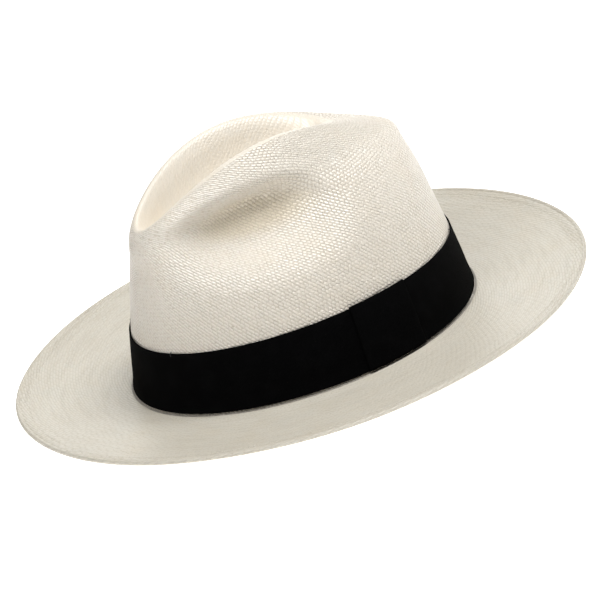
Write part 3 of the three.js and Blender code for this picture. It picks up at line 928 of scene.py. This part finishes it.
# ------------------------ tacks over the ribbon's edge
def smooth_line(knots, count):
    """Points evenly along a Catmull-Rom curve through the knots."""
    knots = np.asarray(knots, float)
    padded = np.concatenate([[2 * knots[0] - knots[1]], knots, [2 * knots[-1] - knots[-2]]])
    where = np.linspace(0, len(knots) - 1, count)
    span = np.minimum(where.astype(int), len(knots) - 2)
    t = (where - span)[:, None]
    a, b, c, d = (padded[span + k] for k in range(4))
    curve = 2 * b + (c - a) * t + (2 * a - 5 * b + 4 * c - d) * t**2
    return (curve + (3 * b - a - 3 * c + d) * t**3) / 2


def tack_line(degrees):
    """From the straw above the ribbon over its edge and down to its face."""
    theta = math.radians(degrees)
    flare = float(ribbon_flare(np.array(theta), np.array(BAND_TOP)))
    steps = [(1.2, -0.2), (0.9, 0.25), (0.4, 0.7), (0.0, 1.25), (-0.8, 1.2), (-1.6, 0.8)]
    knots = []
    for above, lift in steps:
        s = BAND_TOP - above / RING_STEP
        knots.append(crown_offset(theta, s, lift + (flare if lift > 0.3 else 0)))
    return smooth_line(knots, 18)


TACK_ANGLES = [20, 150, 205, 270, 330]
for k, degrees in enumerate(TACK_ANGLES):
    line = tack_line(degrees)
    normal = crown_normal(math.radians(degrees), BAND_TOP)
    lifts = np.broadcast_to(normal, (1,) + line.shape)
    node = f"ribbon_tack_{k + 1}"
    mesh = tubes(node, line[None], 0.2, lifts, sides=10, taper=0.4)
    place(node + "_stitch", mesh, [black_thread], "black_thread", node)

# ------------------------ sweatband
SWEAT_TOP, SWEAT_BOTTOM = 9.2, 10.97
BACK = 180.0
LEATHER_LIFT = STRAW + 2 * GAP + TAPE + 0.15
LEATHER_FACE = LEATHER_LIFT + LEATHER
LEATHER_COLUMNS = 321
leather_theta = round_angles(LEATHER_COLUMNS, BACK + 0.5, BACK + 359.5)
leather = leather_material("sweatband_leather")


def leather_section():
    """A strip with two lines pressed in near its top, which leans towards the head."""
    s, lift = strip_section(SWEAT_TOP, SWEAT_BOTTOM, -LEATHER_FACE, -LEATHER_LIFT, 48, bead=0.05)
    inside = lift < -LEATHER_FACE + 0.2
    for line in (SWEAT_TOP + 0.14, SWEAT_TOP + 0.2):
        lift = lift + inside * 0.16 * np.exp(-(((s - line) / 0.014) ** 2))
    return s, lift - 0.45 * smoothstep(SWEAT_TOP + 0.1 - s, 0.0, 0.16)


section_s, section_lift = leather_section()
section_lift = section_lift[:, None] + 0.06 * np.sin(11 * leather_theta + 0.4)[None]
leather_grid = crown_offset(leather_theta[None], section_s[:, None], section_lift)
leather_u = np.linspace(0, 1, LEATHER_COLUMNS)
leather_v = section_lengths(leather_grid)
leather_mesh = swept("sweatband", leather_grid, leather_u, leather_v, wrap_columns=False)
place("sweatband_leather_strip", leather_mesh, [leather], "sweatband_leather", "sweatband")

# ------------------------ reed and its tape
REED_OUT, REED_HEIGHT, REED_RADIUS = -2.75, 1.75, 0.7
WALL_LEAN = 0.19
STITCH_HEIGHT = 3.8
RING_COLUMNS = 320
ring_theta = round_angles(RING_COLUMNS)
ring_u = np.linspace(0, 1, RING_COLUMNS + 1)


def ring_sweep(name, outs, heights):
    """A closed section carried round the head opening."""
    grid = break_point(ring_theta[None], np.asarray(outs)[:, None], np.asarray(heights)[:, None])
    return swept(name, grid, ring_u, section_lengths(grid))


reed_turn = np.linspace(0, 2 * np.pi, 12, endpoint=False)
reed_mesh = ring_sweep(
    "sweatband_reed",
    REED_OUT + REED_RADIUS * np.cos(reed_turn),
    REED_HEIGHT + REED_RADIUS * np.sin(reed_turn),
)
reed = reed_material("reed_plastic")
place("sweatband_reed_cord", reed_mesh, [reed], "reed_plastic", "sweatband_reed")


def tape_section():
    """The tape is folded round the reed, and its two ends run up on either side."""
    slack = 0.15
    inside = REED_RADIUS + GAP
    outside = inside + TAPE

    def flange(out, low, high, count):
        z = np.linspace(low, high, count)
        return out - WALL_LEAN * (z - REED_HEIGHT), z

    def hoop(radius, start, end, count):
        turn = np.radians(np.linspace(start, end, count))
        return REED_OUT + radius * np.cos(turn), REED_HEIGHT - radius * np.sin(turn)

    parts = [
        flange(REED_OUT + outside - slack, 6.5, 2.4, 8),
        hoop(outside, 15, 165, 9),
        flange(REED_OUT - outside, 2.4, 5.0, 6),
        flange(REED_OUT - inside, 5.0, 2.4, 6),
        hoop(inside, 165, 15, 9),
        flange(REED_OUT + inside - slack, 2.4, 6.5, 8),
    ]
    outs, heights = zip(*parts)
    return np.concatenate(outs), np.concatenate(heights)


tape_outs, tape_heights = tape_section()
tape_mesh = ring_sweep("reed_tape", tape_outs, tape_heights)
place("reed_tape_woven", tape_mesh, [tape_material("reed_tape")], "reed_tape", "reed_tape")


def sweat_line(theta, shift):
    """The seam of tape and leather, which faces the head."""
    z = STITCH_HEIGHT + shift
    out = REED_OUT - REED_RADIUS - GAP - TAPE - WALL_LEAN * (z - REED_HEIGHT)
    outward = break_point(theta, 1.0, 0.0) - break_point(theta, 0.0, 0.0)
    return break_point(theta, out, z), -outward


ring_stitches(
    "sweatband_stitching", SWEAT_STITCHES, 0.86, sweat_line, 0.16, 0.3, 0.18, slope=0.35
)

# ------------------------ lacing at the back
LACING_CROSSINGS = 7
LACING_LOW, LACING_HIGH = 9.95, 9.3
LACING_REACH = 1.6
lacing_knots = []
for k, s in enumerate(np.linspace(LACING_LOW, LACING_HIGH, LACING_CROSSINGS)):
    side = -LACING_REACH if k % 2 == 0 else LACING_REACH
    angle = math.radians(BACK + side)
    lacing_knots.append(crown_offset(angle, s, -LEATHER_FACE - 0.24))
lacing_line = smooth_line(lacing_knots, 90)
lacing_lifts = np.broadcast_to(np.array([0.0, -1.0, 0.2]), (1,) + lacing_line.shape)
node = "sweatband_seam_lacing"
lacing_mesh = tubes(node, lacing_line[None], 0.24, lacing_lifts, sides=10)
place(node + "_thread", lacing_mesh, [cream_thread], "cream_thread", node)

# ------------------------ small bow at the back
BOW_RING = 10.35
BOW_REACH = math.radians(8.5)
BOW_RIBS_PER_MM = 1.5
LOOP_ROWS, LOOP_STATIONS = 9, 41
LOOP_LENGTH = 32
LOOP_HALF_THICK = 0.09
KNOT_WIDTH = 4.3
bow_near = LEATHER_FACE + 0.25


def bow_loop(side):
    """One flattened loop of narrow ribbon, from the knot out and back behind itself."""
    run = np.linspace(0, 1, LOOP_STATIONS)
    reach = BOW_REACH * 0.97 * np.sin(np.pi * run) ** 0.75
    lift = bow_near + 0.62 - 0.62 * np.cos(np.pi * np.clip(1.12 * run - 0.06, 0, 1))
    spread = 0.07 + 0.15 * np.sin(0.9 * np.pi * np.abs(reach) / BOW_REACH) ** 0.8
    across = np.linspace(-1, 1, LOOP_ROWS)
    crimp = 0.12 * np.cos(3 * np.pi * across)[:, None] * (1 - np.abs(reach) / BOW_REACH)[None]
    theta = math.radians(BACK) + side * reach[None] * np.ones((LOOP_ROWS, 1))
    s = BOW_RING + across[:, None] * spread[None]
    front = crown_offset(theta, s, -(lift[None] + crimp))
    along = unit(np.gradient(front, axis=1))
    over = unit(np.gradient(front, axis=0))
    half = np.cross(along, over) * LOOP_HALF_THICK
    return np.concatenate([front + half, (front - half)[::-1]])


narrow_ribbon = grosgrain_material("narrow_ribbon", BOW_RIBS_PER_MM)
for name, side in (("left", -1.0), ("right", 1.0)):
    loop = bow_loop(side)
    length = np.linspace(0, LOOP_LENGTH, LOOP_STATIONS)
    mesh = swept(f"bow_loop_{name}", loop, length, section_lengths(loop), wrap_columns=False)
    place(f"sweatband_bow_loop_{name}", mesh, [narrow_ribbon], "black_ribbon")
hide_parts("sweatband_bow_ribbon")


def knot_grid():
    """A short band wrapped round the middle of the bow."""
    turn = np.linspace(0, 2 * np.pi, 28, endpoint=False)
    across = np.linspace(-1, 1, 13)
    wide = math.radians(1.5) * np.cos(turn) * (1 + 0.06 * np.cos(6 * turn))
    deep = 1.15 * np.sin(turn) * (1 - 0.12 * np.abs(np.cos(turn)))
    pinch = 1 - 0.25 * np.abs(across) ** 3
    theta = math.radians(BACK) + wide[:, None] * pinch[None]
    s = BOW_RING + 0.12 * across[None] * np.ones((len(turn), 1))
    lift = bow_near + 0.95 + deep[:, None] * pinch[None]
    return crown_offset(theta, s, -lift)


knot = knot_grid()
knot_u = np.linspace(0, KNOT_WIDTH, knot.shape[1])
knot_mesh = swept("bow_knot", knot, knot_u, section_lengths(knot), wrap_columns=False)
place("sweatband_bow_knot_wrap", knot_mesh, [narrow_ribbon], "black_ribbon", "sweatband_bow_knot")

# ------------------------ stage
FLOOR_HALF = 6.0
FLOOR_DROP = 0.0003
FLOOR_PALE = (0.9, 0.9, 0.9)
FLOOR_PALER = (0.93, 0.93, 0.93)
FLOOR_GLOW = 0.7
floor_mesh = bpy.data.meshes.new("floor")
corners = [(-1, -1), (1, -1), (1, 1), (-1, 1)]
floor_points = [(FLOOR_HALF * x, FLOOR_HALF * y, -FLOOR_DROP) for x, y in corners]
floor_mesh.from_pydata(floor_points, [], [(0, 1, 2, 3)])
floor = bpy.data.objects.new("floor", floor_mesh)
bpy.context.scene.collection.objects.link(floor)
floor_shader = Shader("pale_floor", roughness=0.8)
floor_tone = floor_shader.noise(floor_shader.place(), 400.0)
floor_shader.set("Base Color", floor_shader.mix(floor_tone, FLOOR_PALE, FLOOR_PALER))
floor_shader.set("Specular IOR Level", 0.1)
floor_shader.set("Emission Color", (1.0, 1.0, 1.0))
floor_shader.set("Emission Strength", FLOOR_GLOW)
floor_mesh.materials.append(floor_shader.material)

# ------------------------ camera
TARGET = Vector((0.0, 0.0, 0.0406))
AZIMUTH = math.radians(66.0)
ELEVATION = math.radians(22.7)
ROLL = math.radians(15.3)
DISTANCE = 1.533
LENS = 159.8
AIM_RIGHT, AIM_DOWN = 0.0072, 0.0174


def direction(azimuth, elevation):
    """Away from the hat, with the azimuth from the front towards +X. Both are in radians."""
    level = math.cos(elevation)
    return Vector(
        (math.sin(azimuth) * level, -math.cos(azimuth) * level, math.sin(elevation))
    )


def camera_axes():
    """The rolled camera's right, up and back when it looks straight at the target."""
    back = direction(AZIMUTH, ELEVATION)
    right = Vector((math.cos(AZIMUTH), math.sin(AZIMUTH), 0.0))
    up = back.cross(right)
    level_x = right * math.cos(ROLL) - up * math.sin(ROLL)
    level_y = right * math.sin(ROLL) + up * math.cos(ROLL)
    return level_x, level_y, back


axis_x, axis_y, axis_back = camera_axes()
eye = TARGET + axis_back * DISTANCE
aim = TARGET + axis_x * AIM_RIGHT - axis_y * AIM_DOWN
view_back = (eye - aim).normalized()
view_x = axis_y.cross(view_back).normalized()
view_y = view_back.cross(view_x)
camera_data = bpy.data.cameras.new("camera")
camera_data.lens = LENS
camera_data.clip_start = 0.05
camera_data.clip_end = 50.0
camera = bpy.data.objects.new("camera", camera_data)
turned = Matrix((view_x, view_y, view_back)).transposed().to_4x4()
camera.matrix_world = Matrix.Translation(eye) @ turned
bpy.context.scene.collection.objects.link(camera)
bpy.context.scene.camera = camera


# ------------------------ light
LIGHT_SIZE = 1.2
LIGHT_DISTANCE = 2.0
WORLD_GLOW = 0.03


def area_light(name, azimuth, elevation, power):
    """A soft light that faces the hat. Its two angles are in degrees."""
    way = direction(math.radians(azimuth), math.radians(elevation))
    data = bpy.data.lights.new(name, "AREA")
    data.shape = "DISK"
    data.size = LIGHT_SIZE
    data.energy = power
    light = bpy.data.objects.new(name, data)
    light.location = TARGET + way * LIGHT_DISTANCE
    light.rotation_mode = "QUATERNION"
    light.rotation_quaternion = way.to_track_quat("Z", "Y")
    bpy.context.scene.collection.objects.link(light)


area_light("top", 156, 72, 35.0)
area_light("top_side", 66, 72, 13.0)
area_light("front", 21, 45, 10.5)
area_light("back", 201, 15, 6.5)
area_light("far_side", 246, 15, 6.5)
world = bpy.data.worlds.new("studio")
bpy.context.scene.world = world
world.use_nodes = True
background = next(n for n in world.node_tree.nodes if n.type == "BACKGROUND")
background.inputs["Color"].default_value = (1.0, 1.0, 1.0, 1.0)
background.inputs["Strength"].default_value = WORLD_GLOW
bpy.context.scene.view_settings.view_transform = "Standard"
